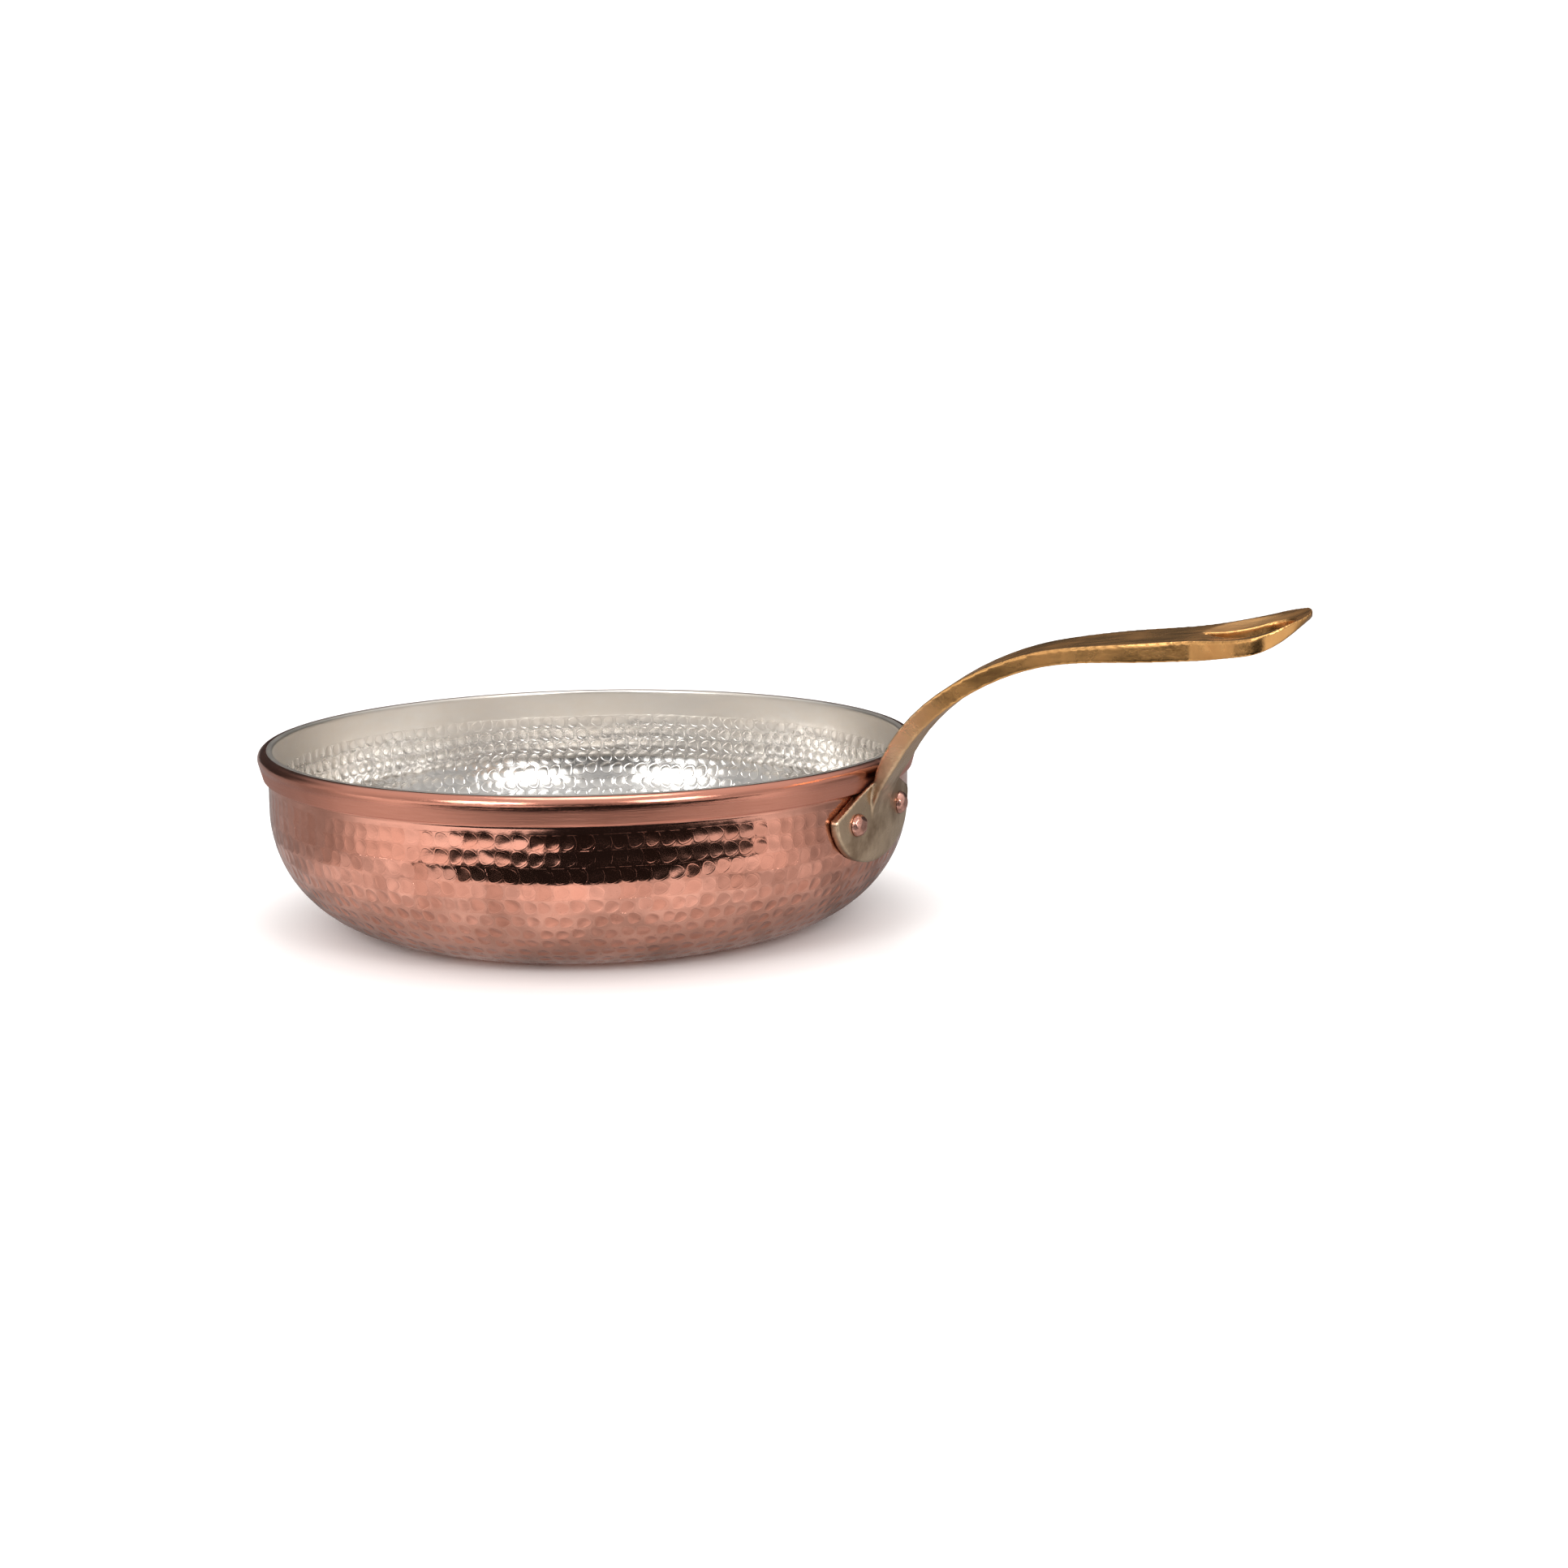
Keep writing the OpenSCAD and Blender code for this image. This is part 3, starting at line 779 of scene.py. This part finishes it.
def studio_floor():
    """A plain pale floor. To what the metal mirrors it is a painted glow instead: darker
    where a table would end, in front of the pan, and mottled, so that every hammer mark
    catches something."""
    tree, shader = pale_floor()
    where = tree.nodes.new("ShaderNodeTexCoord").outputs["Object"]
    parts = make_node(tree, "ShaderNodeSeparateXYZ", {0: where})
    x, y = Field(tree, parts.outputs[0]), Field(tree, parts.outputs[1])
    across, away = across_and_away(x, y)
    radius = (x * x + y * y).do("SQRT")
    mottle = object_noise(tree, 42.0, 2.0, offset=0.3) - 0.5
    broad = object_noise(tree, 9.0, 2.0, offset=2.3) - 0.5
    # The painted glow of a table under the pan's curve and out to its sides.
    near = (radius.step_up(0.085, 0.168, 0.26, 0.78) * away.step_up(-0.13, 0.02, 1.0, 0.5)
            * (1.0 - across.step_up(0.06, 0.14) * 0.25))
    side = (away.step_up(-0.24, -0.02, 1.0, 0.33) * away.step_up(-0.42, -0.26, 1.15, 1.0)
            * (1.0 - across.step_up(0.2, 0.4) * 0.35))
    far = radius.step_up(0.17, 0.24)
    light = (near * (1.0 - far) + side * far) * (
        1.0 + mottle * radius.step_up(0.25, 0.42, 1.6, 0.5) + broad * 0.5)
    # A painted dark room in the glow, beyond the table's front edge, with ragged sides.
    edge = away + mottle * 0.008
    drift = across + broad * 0.12 + mottle * 0.05
    painted_dark_room = ((1.0 - edge.step_up(-0.196, -0.187)) * edge.step_up(-2.4, -1.8)
             * (drift - edge.step_up(-0.40, -0.30, 0.12, 0.0)).step_up(-0.215, -0.175)
             * (1.0 - drift.step_up(0.24, 0.30)))
    mirrored = light * (1.0 - painted_dark_room) + painted_dark_room * (0.006 + (mottle + 0.5) * 0.012)
    glow = make_node(tree, "ShaderNodeEmission",
                     {"Color": (1.0, 0.985, 0.97, 1), "Strength": mirrored})
    path = tree.nodes.new("ShaderNodeLightPath")
    choose = make_node(tree, "ShaderNodeMixShader", {
        0: path.outputs["Is Glossy Ray"], 1: shader.outputs[0], 2: glow.outputs[0]})
    tree.links.new(choose.outputs[0], tree.nodes["Material Output"].inputs["Surface"])


def studio_air():
    """White all round. In what the metal mirrors it is dimmer behind the pan, and dark
    low down straight in front."""
    world = bpy.data.worlds.new("studio")
    bpy.context.scene.world = world
    world.use_nodes = True
    tree = world.node_tree
    tree.nodes.clear()
    where = tree.nodes.new("ShaderNodeTexCoord")
    parts = make_node(tree, "ShaderNodeSeparateXYZ", {0: where.outputs["Generated"]})
    x, y, z = (Field(tree, parts.outputs[i]) for i in range(3))
    across, away = across_and_away(x, y)
    level = (1.0 - z * z).do("MAXIMUM", 0.001).do("SQRT")
    behind = (away / level).step_up(0.05, 0.6)
    dim = behind * z.step_up(-0.05, 0.03) * (1.0 - z.step_up(0.40, 0.72))
    side = (across * across / level).step_up(0.5, 0.95) * 0.12
    front = (away / level * -1.0).step_up(0.88, 0.94) * (1.0 - z.step_up(0.22, 0.34))
    bright = 0.44 + z.step_up(0.3, 0.9) * 0.36 + side
    mirrored = bright * (1.0 - dim * 0.92) * (1.0 - front * 0.85)
    path = tree.nodes.new("ShaderNodeLightPath")
    glossy = Field(tree, path.outputs["Is Glossy Ray"])
    light = make_node(tree, "ShaderNodeBackground", {
        "Color": (1.0, 0.99, 0.98, 1), "Strength": mirrored * glossy + (1.0 - glossy) * 1.25})
    make_node(tree, "ShaderNodeOutputWorld", {0: light.outputs[0]})


def soft_boxes():
    """A soft box overhead and two in front, as a table-top studio has them."""
    for name, place, size, power in (
            ("overhead_box", (0.0, 0.1, 1.3), 0.6, 4.0),
            ("front_left_box", (-0.64, -1.05, 0.66), 0.52, 5.6),
            ("front_right_box", (0.64, -1.06, 0.66), 0.46, 4.6)):
        lamp = bpy.data.lights.new(name, "AREA")
        lamp.size, lamp.energy = size, power
        obj = add_object(name, lamp)
        obj.location = from_view(*place)
        obj.rotation_mode = "QUATERNION"
        aim = Vector(BOX_AIM) - obj.location
        obj.rotation_quaternion = aim.to_track_quat("-Z", "Y")


def camera():
    """A long lens a metre off, looking a little down on the pan."""
    c, s = math.cos(VIEW_TURN), math.sin(VIEW_TURN)
    forward = Vector((-s * math.cos(CAMERA_PITCH), c * math.cos(CAMERA_PITCH),
                      -math.sin(CAMERA_PITCH)))
    right = Vector((c, s, 0))
    up = right.cross(forward)
    right, up = (right * math.cos(CAMERA_ROLL) - up * math.sin(CAMERA_ROLL),
                 right * math.sin(CAMERA_ROLL) + up * math.cos(CAMERA_ROLL))
    data = bpy.data.cameras.new("camera")
    data.sensor_width, data.lens = 36.0, CAMERA_LENS
    data.clip_start, data.clip_end = 0.05, 60.0
    obj = add_object("camera", data)
    turn = Matrix((right, up, -forward)).transposed().to_4x4()
    obj.matrix_world = Matrix.Translation(from_view(*CAMERA_PLACE)) @ turn
    bpy.context.scene.camera = obj


# ---------------------------------------------------------------- the assembly
def dress(obj, node):
    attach(obj, "root")
    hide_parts(node)


def painted(obj, material):
    obj.data.materials.clear()
    obj.data.materials.append(material)
    return obj


camera()
studio_floor()
studio_air()
soft_boxes()
marks = hammer_tree()
dress(copper_shell(marks, copper_metal()), "copper_shell")
dress(tin_lining(marks, tin_metal()), "tin_lining")
dress(painted(cast_handle(), brass_metal()), "handle")
copper_of_rivets = rivet_metal()
for side, name, seed in ((-1, "rivet_left", 21), (1, "rivet_right", 22)):
    head = painted(rivet(side, name + "_visual", seed), copper_of_rivets)
    dress(head, name)
bpy.context.scene.view_settings.view_transform = "Standard"

bpy.context.view_layer.update()
